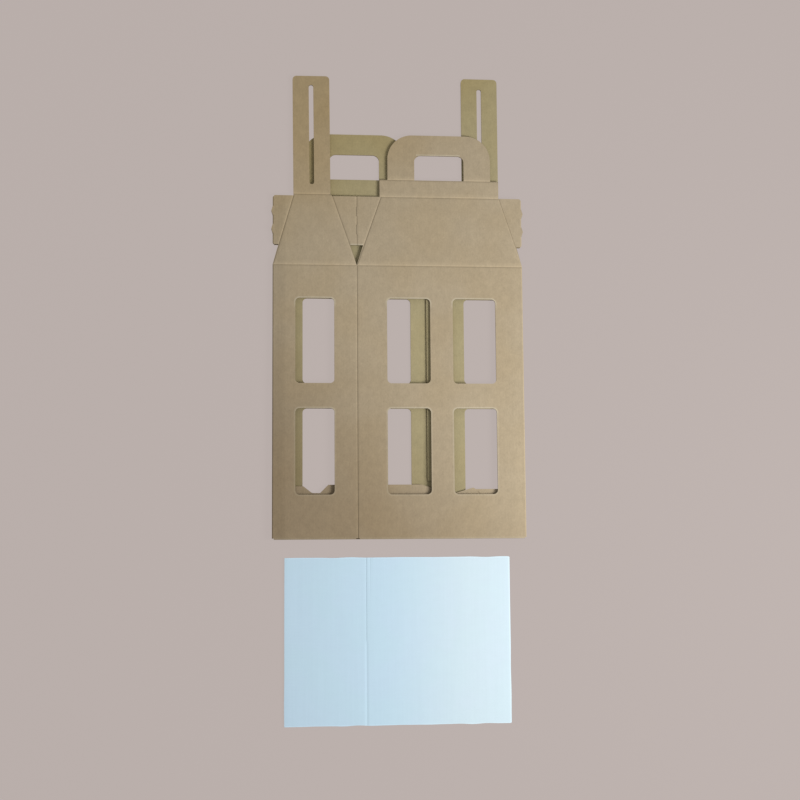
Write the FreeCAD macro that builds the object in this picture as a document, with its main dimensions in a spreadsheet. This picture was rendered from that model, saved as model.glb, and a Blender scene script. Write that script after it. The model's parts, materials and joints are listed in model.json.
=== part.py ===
import FreeCAD, Part
import os
from math import atan, cos, degrees, hypot, tan

import Sketcher
from FreeCAD import Placement, Rotation, Vector

# Corrugated bottle carrier, glued and folded flat, with its loose creased insert.
# The flat tube lies on its back panel. The upper layer is the side panel and the
# front panel, the lower layer is the back panel and the other side panel. The glued
# bottom flaps are folded up between them, so the upper layer leans down a little
# from the thick bottom end to the thin handle end.
# Layer coordinates: x runs from the left fold, y from the bottom fold, z from the
# underside of that layer.

doc = FreeCAD.newDocument("bottle_carrier")

# Driving dimensions, in millimetres
DRIVING_DIMENSIONS = {
    # board
    "board": 1.6,
    "layer_gap": 0.3,
    "lean_room": 0.35,
    "fold_radius": 1.4,
    "fold_end": 1,
    "bottom_fold_radius": 1.1,
    "crease_radius": 1.2,
    "crease_depth": 0.35,
    "cutter_drop": 6,
    "cutter_height": 18,
    # tube
    "side_width": 90,
    "front_width": 180,
    "wall_height": 293,
    "corner_relief": 1.9,
    "corner_step": 1.25,
    # sloping shoulder
    "shoulder": 75.5,
    "gusset_inset": 26.4,
    "side_rise": 1.9,
    "shoulder_corner": 2,
    "notch_half": 6.9,
    "notch_height": 21.9,
    "fold_notch_half": 6.1,
    "fold_notch_ease": 1.8,
    "slit_start": 34,
    "slit_length": 10,
    "slit_pitch": 19.8,
    "slit_width": 0.3,
    "slit_ledge": 1.5,
    # windows
    "window_height": 91.6,
    "window_foot": 47,
    "window_bridge": 26.8,
    "window_corner": 4.5,
    "side_window": 41.5,
    "right_side_window_shift": 1.5,
    "front_window": 46.5,
    "front_window_offset": 35.5,
    "front_window_shift": 1.1,
    "back_window_offset": 34.7,
    # slotted straps on the side panels
    "strap_width": 39.8,
    "left_strap_length": 131.2,
    "left_strap_shift": 3,
    "left_strap_lean": 0.0085,
    "right_strap_length": 132.5,
    "right_strap_shift": 0.3,
    "strap_corner": 4.3,
    "slot_width": 5,
    "slot_end_radius": 2.4,
    "slot_foot": 10.8,
    "slot_length": 110.3,
    # neck strips and handle arches on the front and back panels
    "neck_width": 130,
    "neck_height": 19,
    "handle_width": 112.5,
    "handle_height": 50,
    "handle_corner": 27,
    "back_handle_shift": 2.2,
    "grip_width": 54,
    "grip_height": 27.5,
    "grip_corner": 7,
    # glued seam
    "tab_width": 15,
    "tab_ramp": 4,
    "tab_end": 4,
    "seam_gap": 0.6,
    # bottom flaps
    "back_flap_height": 57.5,
    "back_flap_end": 12,
    "back_flap_chamfer": 9.5,
    "back_flap_chamfer_drop": 3,
    "glue_lobe_width": 31,
    "glue_lobe_slant": 9.1,
    "glue_lobe_drop": 1.5,
    "hook_depth": 8.7,
    "hook_width": 8.5,
    "hook_corner": 5,
    "side_flap_height": 54.2,
    "side_flap_shelf": 1.6,
    "side_flap_peak_run": 2.4,
    "side_flap_slope": 6,
    "side_flap_slant": 6,
    "hidden_flap_height": 44,
    "hidden_flap_slant": 10,
    "glue_crease_end": 4,
    # loose insert
    "insert_width": 175,
    "insert_short_leg": 86.3,
    "insert_long_leg": 153,
    "insert_left": 13,
    "insert_gap": 18.8,
    "insert_slit_width": 0.3,
}

sheet = doc.addObject("Spreadsheet::Sheet", "Sizes")
for row, (name, value) in enumerate(DRIVING_DIMENSIONS.items(), start=1):
    sheet.set(f"A{row}", name)
    sheet.set(f"B{row}", str(value))
    sheet.setAlias(f"B{row}", name)
doc.recompute()


class Size:
    """A length as its value in millimetres and as the sheet formula that gives it."""

    def __init__(self, value, formula):
        self.value = float(value)
        self.formula = formula

    @staticmethod
    def of(number):
        return number if isinstance(number, Size) else Size(number, repr(number))

    def __add__(self, other):
        other = Size.of(other)
        return Size(self.value + other.value, f"({self.formula} + {other.formula})")

    def __sub__(self, other):
        other = Size.of(other)
        return Size(self.value - other.value, f"({self.formula} - {other.formula})")

    def __mul__(self, other):
        other = Size.of(other)
        return Size(self.value * other.value, f"({self.formula} * {other.formula})")

    def __truediv__(self, divisor):
        return Size(self.value / divisor, f"({self.formula} / {divisor!r})")


def size(name):
    """The driving dimension with this alias."""
    return Size(sheet.get(name), f"Sizes.{name}")


ZERO = Size(0, "0")
board = size("board")
gap = size("layer_gap")

side_width = size("side_width")
front_width = size("front_width")
tube_width = side_width + front_width
wall_height = size("wall_height")
shoulder_top = wall_height + size("shoulder")
strap_foot = shoulder_top + size("side_rise")

slit_low = wall_height + size("slit_start")
slit_high = slit_low + size("slit_pitch")
neck_top = shoulder_top + size("neck_height")
handle_top = neck_top + size("handle_height")

# Centre lines of what stands on the four panels, in layer x
left_side_centre = side_width / 2
front_centre = side_width + front_width / 2
back_centre = front_width / 2
right_side_centre = front_width + side_width / 2
left_strap_centre = left_side_centre - size("left_strap_shift")
right_strap_centre = right_side_centre + size("right_strap_shift")

# Lie of the two layers. The upper layer clears both flaps at the bottom fold and
# the lower layer at the tip of the left strap, and leans evenly between them.
FLAP_STEP = board.value + gap.value
UPPER_LIFT = board.value + 2 * FLAP_STEP + gap.value + size("lean_room").value
LEAN_RUN = strap_foot.value + size("left_strap_length").value
LEAN = atan((UPPER_LIFT - board.value - gap.value) / LEAN_RUN)

# The whole object is centred over its own origin
insert_top = -size("insert_gap").value
insert_bottom = insert_top - size("insert_width").value
tip_of_right_strap = strap_foot.value + size("right_strap_length").value
CENTRE_X = tube_width.value / 2
CENTRE_Y = (tip_of_right_strap + insert_bottom) / 2

LOWER_PLACE = Placement(Vector(-CENTRE_X, -CENTRE_Y, 0), Rotation())
UPPER_PLACE = Placement(Vector(-CENTRE_X, -CENTRE_Y, UPPER_LIFT),
                        Rotation(Vector(1, 0, 0), -degrees(LEAN)))


def new_body(name, placement):
    """An empty body that stands at a layer's place."""
    body = doc.addObject("PartDesign::Body", name)
    body.Placement = placement
    return body


def plane_of(body, role):
    """One of the body's own origin planes."""
    return next(item for item in body.Origin.OriginFeatures if item.Role == role)


def new_sketch(body, name, height=ZERO, role="XY_Plane"):
    """A sketch on an origin plane of the body, lifted along that plane's normal."""
    sketch = body.newObject("Sketcher::SketchObject", name)
    sketch.AttachmentSupport = [(plane_of(body, role), "")]
    sketch.MapMode = "FlatFace"
    sketch.setExpression("AttachmentOffset.Base.z", height.formula)
    return sketch


def draw_polygon(sketch, corners):
    """A closed outline whose corners are tied to the sheet."""
    points = [(Size.of(x), Size.of(y)) for x, y in corners]
    spots = [Vector(x.value, y.value, 0) for x, y in points]
    first = sketch.GeometryCount
    count = len(spots)
    sketch.addGeometry([Part.LineSegment(spots[here], spots[(here + 1) % count])
                        for here in range(count)], False)
    joints = [Sketcher.Constraint("Coincident", first + here, 2,
                                  first + (here + 1) % count, 1)
              for here in range(count)]
    places = []
    formulas = []
    for here, (x, y) in enumerate(points):
        for kind, length in (("DistanceX", x), ("DistanceY", y)):
            places.append(Sketcher.Constraint(kind, -1, 1, first + here, 1, length.value))
            formulas.append(length.formula)
    tied = sketch.ConstraintCount + count
    sketch.addConstraint(joints + places)
    for index, formula in enumerate(formulas, start=tied):
        sketch.setExpression(f"Constraints[{index}]", formula)


def draw_box(sketch, left, right, low, high):
    """A rectangle with square corners."""
    draw_polygon(sketch, [(left, low), (right, low), (right, high), (left, high)])


def pad(body, sketch, name, length):
    """Raise the sketch by a sheet length."""
    feature = body.newObject("PartDesign::Pad", name)
    feature.Profile = sketch
    feature.setExpression("Length", length.formula)
    return feature


def pocket(body, sketch, name):
    """Cut the sketch right through the body, both ways."""
    feature = body.newObject("PartDesign::Pocket", name)
    feature.Profile = sketch
    feature.Type = "ThroughAll"
    feature.Midplane = True
    return feature


def round_edges(body, name, radius, chosen):
    """Round the edges of the body's last feature that the test picks."""
    doc.recompute()
    last = body.Tip
    picked = [f"Edge{number}" for number, edge in enumerate(last.Shape.Edges, start=1)
              if chosen(edge)]
    feature = body.newObject("PartDesign::Fillet", name)
    feature.Base = (last, picked)
    feature.setExpression("Radius", radius.formula)
    doc.recompute()
    return feature


def upright_at(spots):
    """A test for edges that stand upright at one of these layer places."""
    places = [(x.value, y.value) for x, y in spots]

    def chosen(edge):
        ends = [vertex.Point for vertex in edge.Vertexes]
        if len(ends) != 2 or abs(ends[0].z - ends[1].z) < 0.5 * board.value:
            return False
        return any(hypot(end.x - x, end.y - y) < 0.01
                   for x, y in places for end in ends[:1])

    return chosen


# Windows: two rows, one column on each side panel and two on the front and back
front_windows_centre = front_centre + size("front_window_shift")
WINDOW_COLUMNS = {
    "upper": [(left_side_centre, size("side_window")),
              (front_windows_centre - size("front_window_offset"), size("front_window")),
              (front_windows_centre + size("front_window_offset"), size("front_window"))],
    "lower": [(back_centre - size("back_window_offset"), size("front_window")),
              (back_centre + size("back_window_offset"), size("front_window")),
              (right_side_centre + size("right_side_window_shift"), size("side_window"))],
}
low_row = size("window_foot")
high_row = low_row + size("window_height") + size("window_bridge")


def cut_windows(body, layer):
    """Cut the layer's six windows and round their corners."""
    sketch = new_sketch(body, f"{layer}_window_outlines")
    corners = []
    for centre, width in WINDOW_COLUMNS[layer]:
        for foot in (low_row, high_row):
            left, right = centre - width / 2, centre + width / 2
            head = foot + size("window_height")
            draw_box(sketch, left, right, foot, head)
            corners += [(left, foot), (right, foot), (right, head), (left, head)]
    pocket(body, sketch, f"{layer}_windows")
    round_edges(body, f"{layer}_window_corners", size("window_corner"), upright_at(corners))


def cut_notch(body, layer, corner_x):
    """Cut the pointed notch at a flat corner of the tube, under the shoulder gusset."""
    half = size("notch_half")
    head = wall_height + size("notch_height")
    sketch = new_sketch(body, f"{layer}_notch_outline")
    draw_polygon(sketch, [(corner_x, wall_height), (corner_x + half, head),
                          (corner_x - half, head)])
    pocket(body, sketch, f"{layer}_notch")


def panel_foot(first_width, second_width):
    """The bottom line of a layer, stepped up beside each folded corner."""
    relief, step = size("corner_relief"), size("corner_step")
    end = first_width + second_width
    return [(ZERO, step), (relief, step), (relief, ZERO),
            (first_width - relief, ZERO), (first_width - relief, step),
            (first_width + relief, step), (first_width + relief, ZERO),
            (end - relief, ZERO), (end - relief, step), (end, step)]


def add_flap(body, name, outline, plate_face, flap_face):
    """A bottom flap folded back onto its panel, joined to it along the fold."""
    left, right = outline[0][0], outline[1][0]
    low = plate_face if plate_face.value < flap_face.value else flap_face
    fold = new_sketch(body, f"{name}_fold_outline", low)
    draw_box(fold, left, right, ZERO, board)
    pad(body, fold, f"{name}_fold", board + gap)
    sketch = new_sketch(body, f"{name}_outline", flap_face)
    draw_polygon(sketch, outline)
    pad(body, sketch, name, board)


def round_bottom_fold(body, name, outer_faces):
    """Round the long outer edges along the bottom fold."""
    heights = [face.value for face in outer_faces]

    def chosen(edge):
        ends = [vertex.Point for vertex in edge.Vertexes]
        if len(ends) != 2 or edge.Length < side_width.value / 2:
            return False
        return all(abs(end.y) < 0.01 and min(abs(end.z - face) for face in heights) < 0.01
                   for end in ends)

    round_edges(body, name, size("bottom_fold_radius"), chosen)


# Upper layer: left side panel and front panel with their shoulder
upper = new_body("upper_layer", UPPER_PLACE)
left_strap_edges = (left_strap_centre - size("strap_width") / 2,
                    left_strap_centre + size("strap_width") / 2)
corner_cut = size("shoulder_corner")
upper_outline = panel_foot(side_width, front_width) + [
    (tube_width, shoulder_top - corner_cut),
    (tube_width - corner_cut, shoulder_top),
    (side_width - size("gusset_inset"), shoulder_top),
    (left_strap_edges[1], strap_foot),
    (left_strap_edges[0], strap_foot),
    (left_strap_edges[0], shoulder_top),
    (corner_cut, shoulder_top),
    (ZERO, shoulder_top - corner_cut),
]
upper_sketch = new_sketch(upper, "upper_outline")
draw_polygon(upper_sketch, upper_outline)
pad(upper, upper_sketch, "upper_plate", board)
cut_windows(upper, "upper")
cut_notch(upper, "upper", side_width)

hidden_height = size("hidden_flap_height")
slant = size("hidden_flap_slant")
relief = size("corner_relief")
upper_flap_face = ZERO - gap - board
front_flap = [(side_width + relief, ZERO), (tube_width - relief, ZERO),
              (tube_width - relief, hidden_height),
              (side_width + relief + slant, hidden_height)]
left_side_flap = [(relief, ZERO), (side_width - relief, ZERO),
                  (side_width - relief - slant, hidden_height), (relief, hidden_height)]
add_flap(upper, "front_flap", front_flap, ZERO, upper_flap_face)
add_flap(upper, "left_side_flap", left_side_flap, ZERO, upper_flap_face)
round_bottom_fold(upper, "upper_bottom_folds", (board, upper_flap_face))

# Slits on the gusset's centre line, between its creased stretches
slit_sketch = new_sketch(upper, "upper_slit_outlines")
for foot in (slit_low, slit_high):
    draw_box(slit_sketch, side_width - size("slit_width") / 2,
             side_width + size("slit_width") / 2, foot, foot + size("slit_length"))
pocket(upper, slit_sketch, "upper_slits")

# Lower layer: back panel and right side panel, with their handle arch and strap
lower = new_body("lower_layer", LOWER_PLACE)
right_strap_edges = (right_strap_centre - size("strap_width") / 2,
                     right_strap_centre + size("strap_width") / 2)
right_strap_tip = strap_foot + size("right_strap_length")
back_neck = (back_centre - size("neck_width") / 2, back_centre + size("neck_width") / 2)
back_handle_centre = back_centre - size("back_handle_shift")
back_handle = (back_handle_centre - size("handle_width") / 2,
               back_handle_centre + size("handle_width") / 2)
lower_outline = panel_foot(front_width, side_width) + [
    (tube_width, shoulder_top - corner_cut),
    (tube_width - corner_cut, shoulder_top),
    (right_strap_edges[1], shoulder_top),
    (right_strap_edges[1], right_strap_tip),
    (right_strap_edges[0], right_strap_tip),
    (right_strap_edges[0], strap_foot),
    (front_width + size("gusset_inset"), shoulder_top),
    (back_neck[1], shoulder_top),
    (back_neck[1], neck_top),
    (back_handle[1], neck_top),
    (back_handle[1], handle_top),
    (back_handle[0], handle_top),
    (back_handle[0], neck_top),
    (back_neck[0], neck_top),
    (back_neck[0], shoulder_top),
    (corner_cut, shoulder_top),
    (ZERO, shoulder_top - corner_cut),
]
lower_sketch = new_sketch(lower, "lower_outline")
draw_polygon(lower_sketch, lower_outline)
pad(lower, lower_sketch, "lower_plate", board)
cut_windows(lower, "lower")
cut_notch(lower, "lower", front_width)

# Back flap: a glued lobe at the left fold, a notch from its slant to the
# forty-five degree fold line, and the broad main part
lobe_left = relief
lobe_right = relief + size("glue_lobe_width")
lobe_top = size("back_flap_height") - size("glue_lobe_drop")
hook_floor = size("back_flap_height") - size("hook_depth")
lobe_foot = lobe_right + size("glue_lobe_slant")
hook_right = lobe_foot + size("hook_width")
main_right = front_width - size("back_flap_end")
back_flap = [(lobe_left, ZERO), (main_right, ZERO),
             (main_right, size("back_flap_height") - size("back_flap_chamfer_drop")),
             (main_right - size("back_flap_chamfer"), size("back_flap_height")),
             (hook_right + size("hook_depth"), size("back_flap_height")),
             (hook_right, hook_floor), (lobe_foot, hook_floor),
             (lobe_right, lobe_top), (lobe_left, lobe_top)]
side_peak = tube_width - relief - size("side_flap_height")
side_shelf = size("side_flap_height") - size("side_flap_shelf")
side_slope_foot = front_width + relief + size("side_flap_slant") * 2
right_side_flap = [(front_width + relief + size("side_flap_slant"), ZERO),
                   (tube_width - relief, ZERO), (tube_width - relief, side_shelf),
                   (side_peak + size("side_flap_peak_run"), side_shelf),
                   (side_peak, size("side_flap_height")),
                   (side_slope_foot, size("side_flap_height") - size("side_flap_slope"))]
lower_flap_face = board + gap
add_flap(lower, "back_flap", back_flap, board, lower_flap_face)
add_flap(lower, "right_side_flap", right_side_flap, board, lower_flap_face)
round_bottom_fold(lower, "lower_bottom_folds", (ZERO, lower_flap_face + board))
round_edges(lower, "hook_corner_round", size("hook_corner"),
            upright_at([(lobe_foot, hook_floor)]))

# Glue tab of the right side panel, which steps over the edge of the back panel.
# The tab stands above the bottom flaps and again above the notch.
tab_profile = [(front_width - size("tab_width"), board),
               (front_width + size("tab_ramp"), board),
               (front_width + size("seam_gap"), board * 2),
               (front_width - size("tab_width"), board * 2)]
seam_sketch = new_sketch(lower, "seam_outline")
draw_box(seam_sketch, front_width, front_width + size("seam_gap"), ZERO, shoulder_top)


def add_tab(name, foot, head):
    """One stretch of the glue tab, swept along the seam."""
    sketch = new_sketch(lower, f"{name}_profile", ZERO - head, "XZ_Plane")
    draw_polygon(sketch, tab_profile)
    pad(lower, sketch, name, head - foot)


add_tab("wall_tab", size("back_flap_height") + size("tab_end"),
        wall_height - size("tab_end"))
add_tab("gusset_tab", wall_height + size("notch_height") + size("tab_end"),
        shoulder_top - size("tab_end"))
doc.recompute()
seam = lower.newObject("PartDesign::Pocket", "seam_slot")
seam.Profile = seam_sketch
seam.Type = "Length"
seam.Reversed = True
seam.setExpression("Length", board.formula)

# Slot of the right strap, grip of the back arch, and their rounded corners
slot_foot = strap_foot + size("slot_foot")
slot_head = slot_foot + size("slot_length")


def cut_slot(body, name, centre, lean=ZERO):
    """A long slot with round ends, which leans with its strap. The handle arches pass through."""
    half = size("slot_width") / 2
    low = centre - (slot_foot - strap_foot) * lean
    high = centre - (slot_head - strap_foot) * lean
    corners = [(low - half, slot_foot), (low + half, slot_foot),
               (high + half, slot_head), (high - half, slot_head)]
    sketch = new_sketch(body, f"{name}_outline")
    draw_polygon(sketch, corners)
    pocket(body, sketch, name)
    round_edges(body, f"{name}_ends", size("slot_end_radius"), upright_at(corners))


def shape_strap_tip(body, name, tips):
    """Round the two outer corners of a strap."""
    round_edges(body, f"{name}_corners", size("strap_corner"), upright_at(tips))


def cut_grip(body, name, centre):
    """The finger opening of a handle arch, which stands on the neck crease."""
    left = centre - size("grip_width") / 2
    right = centre + size("grip_width") / 2
    head = neck_top + size("grip_height")
    sketch = new_sketch(body, f"{name}_outline")
    draw_box(sketch, left, right, neck_top, head)
    pocket(body, sketch, name)
    round_edges(body, f"{name}_corners", size("grip_corner"),
                upright_at([(left, head), (right, head)]))


def shape_arch(body, name, edges):
    """Round the two large shoulders of a handle arch."""
    round_edges(body, f"{name}_shoulders", size("handle_corner"),
                upright_at([(edges[0], handle_top), (edges[1], handle_top)]))


cut_slot(lower, "right_strap_slot", right_strap_centre)
shape_strap_tip(lower, "right_strap", [(edge, right_strap_tip) for edge in right_strap_edges])
cut_grip(lower, "back_grip", back_handle_centre)
shape_arch(lower, "back_handle", back_handle)

# Left strap, hinged on the left side panel's shoulder and leaning a little to the left
left_strap = new_body("left_strap_board", UPPER_PLACE)
strap_lean = size("left_strap_lean")
tip_shift = size("left_strap_length") * strap_lean
left_strap_tip = strap_foot + size("left_strap_length")
left_strap_tips = [(left_strap_edges[1] - tip_shift, left_strap_tip),
                   (left_strap_edges[0] - tip_shift,
                    left_strap_tip - size("strap_width") * strap_lean)]
strap_sketch = new_sketch(left_strap, "left_strap_outline")
draw_polygon(strap_sketch, [(left_strap_edges[0], strap_foot),
                            (left_strap_edges[1], strap_foot)] + left_strap_tips)
pad(left_strap, strap_sketch, "left_strap_plate", board)
cut_slot(left_strap, "left_strap_slot", left_strap_centre, strap_lean)
shape_strap_tip(left_strap, "left_strap", left_strap_tips)

# Front neck strip, hinged on the front panel's shoulder
front_neck_edges = (front_centre - size("neck_width") / 2,
                    front_centre + size("neck_width") / 2)
front_neck = new_body("front_neck_board", UPPER_PLACE)
neck_sketch = new_sketch(front_neck, "front_neck_outline")
draw_box(neck_sketch, front_neck_edges[0], front_neck_edges[1], shoulder_top, neck_top)
pad(front_neck, neck_sketch, "front_neck_plate", board)

# Front handle arch, hinged on the neck strip
front_handle_edges = (front_centre - size("handle_width") / 2,
                      front_centre + size("handle_width") / 2)
front_handle = new_body("front_handle_board", UPPER_PLACE)
handle_sketch = new_sketch(front_handle, "front_handle_outline")
draw_box(handle_sketch, front_handle_edges[0], front_handle_edges[1], neck_top, handle_top)
pad(front_handle, handle_sketch, "front_handle_plate", board)
cut_grip(front_handle, "front_grip", front_centre)
shape_arch(front_handle, "front_handle", front_handle_edges)

# Folds that join the two layers along both sides of the tube
fold_foot = size("corner_step") + size("fold_end")
fold_head = shoulder_top - corner_cut - size("fold_end")


def upper_middle(y):
    """Height of the middle of the upper board over this place."""
    return UPPER_LIFT + (board.value / 2) / cos(LEAN) - y * tan(LEAN)


def fold_wall(name, left):
    """The upright wall of a side fold, from the lower board up into the upper one."""
    body = new_body(name, LOWER_PLACE)
    sketch = new_sketch(body, f"{name}_outline", left, "YZ_Plane")
    low = board / 2
    foot_height = upper_middle(fold_foot.value)
    head_height = upper_middle(fold_head.value)
    draw_polygon(sketch, [(fold_foot, low), (fold_head, low),
                          (fold_head, head_height), (fold_foot, foot_height)])
    pad(body, sketch, f"{name}_wall", board)
    return body


left_fold = fold_wall("left_fold", ZERO)
right_fold = fold_wall("right_fold", tube_width - board)
doc.recompute()

tube = doc.addObject("Part::MultiFuse", "tube")
tube.Shapes = [upper, lower, left_fold, right_fold]
tube.Refine = True
doc.recompute()


def side_fold_edges(shape):
    """Numbers of the four long outer edges of the side folds."""
    shortest = (fold_head.value + fold_foot.value) / 2
    found = []
    for number, edge in enumerate(shape.Edges, start=1):
        box = edge.BoundBox
        at_side = abs(abs(box.Center.x) - CENTRE_X) < 0.01 and box.XLength < 0.01
        if at_side and box.YLength > shortest:
            found.append(number)
    return found


rounded_tube = doc.addObject("Part::Fillet", "rounded_tube")
rounded_tube.Base = tube
fold_radius = size("fold_radius").value
rounded_tube.Edges = [(number, fold_radius, fold_radius)
                      for number in side_fold_edges(tube.Shape)]
doc.recompute()


# Cuts at the side folds: the half notches, and the slits where the fold is parted
def cutting_body(name):
    """A body for a cut that passes through both layers."""
    return new_body(name, Placement(Vector(-CENTRE_X, -CENTRE_Y, 0), Rotation()))


def half_notch(name, fold_x, inward):
    """The tube's pointed notch where a side fold halves it."""
    body = cutting_body(name)
    sketch = new_sketch(body, f"{name}_outline", ZERO - size("cutter_drop"))
    half = size("fold_notch_half") * inward
    ease = size("fold_notch_ease")
    head = wall_height + size("notch_height")
    draw_polygon(sketch, [(fold_x, wall_height), (fold_x + half, head),
                          (fold_x + ease * inward, head),
                          (fold_x - ease * inward, head + ease * 2),
                          (fold_x - half, head + ease * 2)])
    pad(body, sketch, f"{name}_prism", size("cutter_height"))
    return body


def parting(name, inner_x, outer_x, foot):
    """The opened stretch of a side fold beside one slit."""
    body = cutting_body(name)
    sketch = new_sketch(body, f"{name}_outline", ZERO - size("cutter_drop"))
    draw_box(sketch, inner_x, outer_x, foot, foot + size("slit_length"))
    pad(body, sketch, f"{name}_prism", size("cutter_height"))
    return body


def ledge(name, place, inner_x, fold_x, tip_x, foot):
    """A pointed cut edge that stands out of the side fold beside one slit."""
    body = new_body(name, place)
    sketch = new_sketch(body, f"{name}_outline")
    head = foot + size("slit_length")
    draw_polygon(sketch, [(inner_x, foot), (fold_x, foot), (tip_x, foot + size("slit_length") / 2),
                          (fold_x, head), (inner_x, head)])
    pad(body, sketch, f"{name}_plate", board)
    return body


fold_depth = size("fold_radius") + board
ledge_reach = size("slit_ledge")
SIDES = {"left": (ZERO, 1), "right": (tube_width, -1)}
cutters = []
ledges = []
for side, (fold_x, inward) in SIDES.items():
    cutters.append(half_notch(f"{side}_half_notch", fold_x, inward))
    for step, foot in enumerate((slit_low, slit_high), start=1):
        inner = fold_x + fold_depth * inward
        outer = fold_x - ledge_reach * inward
        cutters.append(parting(f"{side}_parting_{step}", inner, outer, foot))
        for layer, place in (("lower", LOWER_PLACE), ("upper", UPPER_PLACE)):
            ledges.append(ledge(f"{side}_{layer}_ledge_{step}", place, inner, fold_x, outer,
                                foot))


def crease(name, place, start, end, face, level=ZERO):
    """A round-bottomed crease in one face of the board on this level, +1 upper or -1 under."""
    run = Vector(end[0].value - start[0].value, end[1].value - start[1].value, 0)
    lift = size("crease_radius") - size("crease_depth")
    height = level + board + lift if face > 0 else level - lift
    spot = Vector(start[0].value, start[1].value, height.value)
    tool = doc.addObject("Part::Cylinder", name)
    tool.setExpression("Radius", size("crease_radius").formula)
    tool.Height = run.Length
    tool.Placement = place.multiply(Placement(spot, Rotation(Vector(0, 0, 1), run)))
    return tool


def shoulder_creases(layer, place, flat_corner, panel_ends, face):
    """The shoulder line of a layer and its gusset diagonals, flat corner first."""
    inset = size("gusset_inset")
    lines = [((ZERO, wall_height), (tube_width, wall_height)),
             ((flat_corner, wall_height), (flat_corner - inset, shoulder_top)),
             ((flat_corner, wall_height), (flat_corner + inset, shoulder_top)),
             ((ZERO, wall_height), (panel_ends[0], shoulder_top)),
             ((tube_width, wall_height), (panel_ends[1], shoulder_top))]
    return [crease(f"{layer}_shoulder_crease_{number}", place, start, end, face)
            for number, (start, end) in enumerate(lines, start=1)]


notch_head = wall_height + size("notch_height")
slit_length = size("slit_length")
upper_creases = shoulder_creases("upper", UPPER_PLACE, side_width,
                                 (left_strap_edges[0], front_neck_edges[1]), 1)
lower_creases = shoulder_creases("lower", LOWER_PLACE, front_width,
                                 (back_neck[0], right_strap_edges[1]), -1)
corner_lines = [((side_width, ZERO), (side_width, wall_height)),
                ((side_width, notch_head), (side_width, slit_low)),
                ((side_width, slit_low + slit_length), (side_width, slit_high)),
                ((side_width, slit_high + slit_length), (side_width, shoulder_top))]
corner_creases = [crease(f"corner_crease_{number}", UPPER_PLACE, start, end, 1)
                  for number, (start, end) in enumerate(corner_lines, start=1)]
lower_lines = [((right_strap_edges[0], strap_foot), (right_strap_edges[1], strap_foot)),
               ((back_neck[0], shoulder_top), (back_neck[1], shoulder_top)),
               ((back_neck[0], neck_top), (back_neck[1], neck_top))]
lower_hinges = [crease(f"lower_hinge_crease_{number}", LOWER_PLACE, start, end, -1)
                for number, (start, end) in enumerate(lower_lines, start=1)]

# Forty-five degree creases of the bottom flaps, which let the glued bottom fold flat
glue_end = size("glue_crease_end")
glue_lines = [((lobe_left + glue_end, glue_end), (lobe_left + hook_floor - glue_end,
                                                 hook_floor - glue_end)),
              ((tube_width - relief - glue_end, glue_end),
               (side_peak + glue_end, size("side_flap_height") - glue_end))]
glue_creases = [crease(f"glue_crease_{number}", LOWER_PLACE, start, end, 1, lower_flap_face)
                for number, (start, end) in enumerate(glue_lines, start=1)]

# Creases that hinged boards share with what carries them
strap_crease = crease("left_strap_crease", UPPER_PLACE,
                      (left_strap_edges[0], strap_foot), (left_strap_edges[1], strap_foot), 1)
neck_crease = crease("front_neck_crease", UPPER_PLACE,
                     (front_neck_edges[0], shoulder_top), (front_neck_edges[1], shoulder_top), 1)
handle_crease = crease("front_handle_crease", UPPER_PLACE,
                       (front_neck_edges[0], neck_top), (front_neck_edges[1], neck_top), 1)


def fused(name, pieces):
    """One object of several."""
    result = doc.addObject("Part::MultiFuse", name)
    result.Shapes = pieces
    return result


def cut(name, base, tool):
    """The base less the tool."""
    result = doc.addObject("Part::Cut", name)
    result.Base = base
    result.Tool = tool
    return result


def creased(name, base, rounds):
    """The base with its creases pressed in. Creases that meet are in separate rounds."""
    for number, tools in enumerate(rounds, start=1):
        together = doc.addObject("Part::Compound", f"{name}_creases_{number}")
        together.Links = tools
        base = cut(f"{name}_creased_{number}", base, together)
    return base


fold_cuts = fused("fold_cuts", cutters)
parted_tube = cut("parted_tube", rounded_tube, fold_cuts)
ledged_tube = fused("ledged_tube", [parted_tube] + ledges)
across = [upper_creases[0], lower_creases[0], strap_crease, neck_crease]
sleeve = creased("sleeve", ledged_tube, [
    across + lower_hinges + corner_creases[1:],
    upper_creases[1:2] + upper_creases[4:] + lower_creases[1:2] + lower_creases[4:],
    upper_creases[2:4] + lower_creases[2:4],
    corner_creases[:1] + glue_creases,
])
strap_part = creased("strap", left_strap, [[strap_crease]])
neck_part = creased("neck", front_neck, [[neck_crease, handle_crease]])
handle_part = creased("handle", front_handle, [[handle_crease]])

# Loose insert: one creased sheet that lies beside the carrier
insert = new_body("insert_board", Placement(
    Vector(size("insert_left").value - CENTRE_X, insert_bottom - CENTRE_Y, 0), Rotation()))
insert_length = size("insert_short_leg") + size("insert_long_leg")
insert_width = size("insert_width")
insert_sketch = new_sketch(insert, "insert_outline")
draw_box(insert_sketch, ZERO, insert_length, ZERO, insert_width)
pad(insert, insert_sketch, "insert_plate", board)

# Its fold line is creased over one half and slit over the other
half_width = insert_width / 2
insert_slit = new_sketch(insert, "insert_slit_outline")
draw_box(insert_slit, size("insert_short_leg") - size("insert_slit_width") / 2,
         size("insert_short_leg") + size("insert_slit_width") / 2, half_width, insert_width)
pocket(insert, insert_slit, "insert_slit")
insert_crease = crease("insert_crease", insert.Placement,
                       (size("insert_short_leg"), ZERO),
                       (size("insert_short_leg"), half_width), 1)
insert_part = creased("insert", insert, [[insert_crease]])
doc.recompute()

# Each finished piece has its own label and file
SUB_PARTS = {
    "carton_sleeve": sleeve,
    "left_strap": strap_part,
    "front_neck": neck_part,
    "front_handle": handle_part,
    "insert_sheet": insert_part,
}
for label, piece in SUB_PARTS.items():
    piece.Label = label

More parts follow.
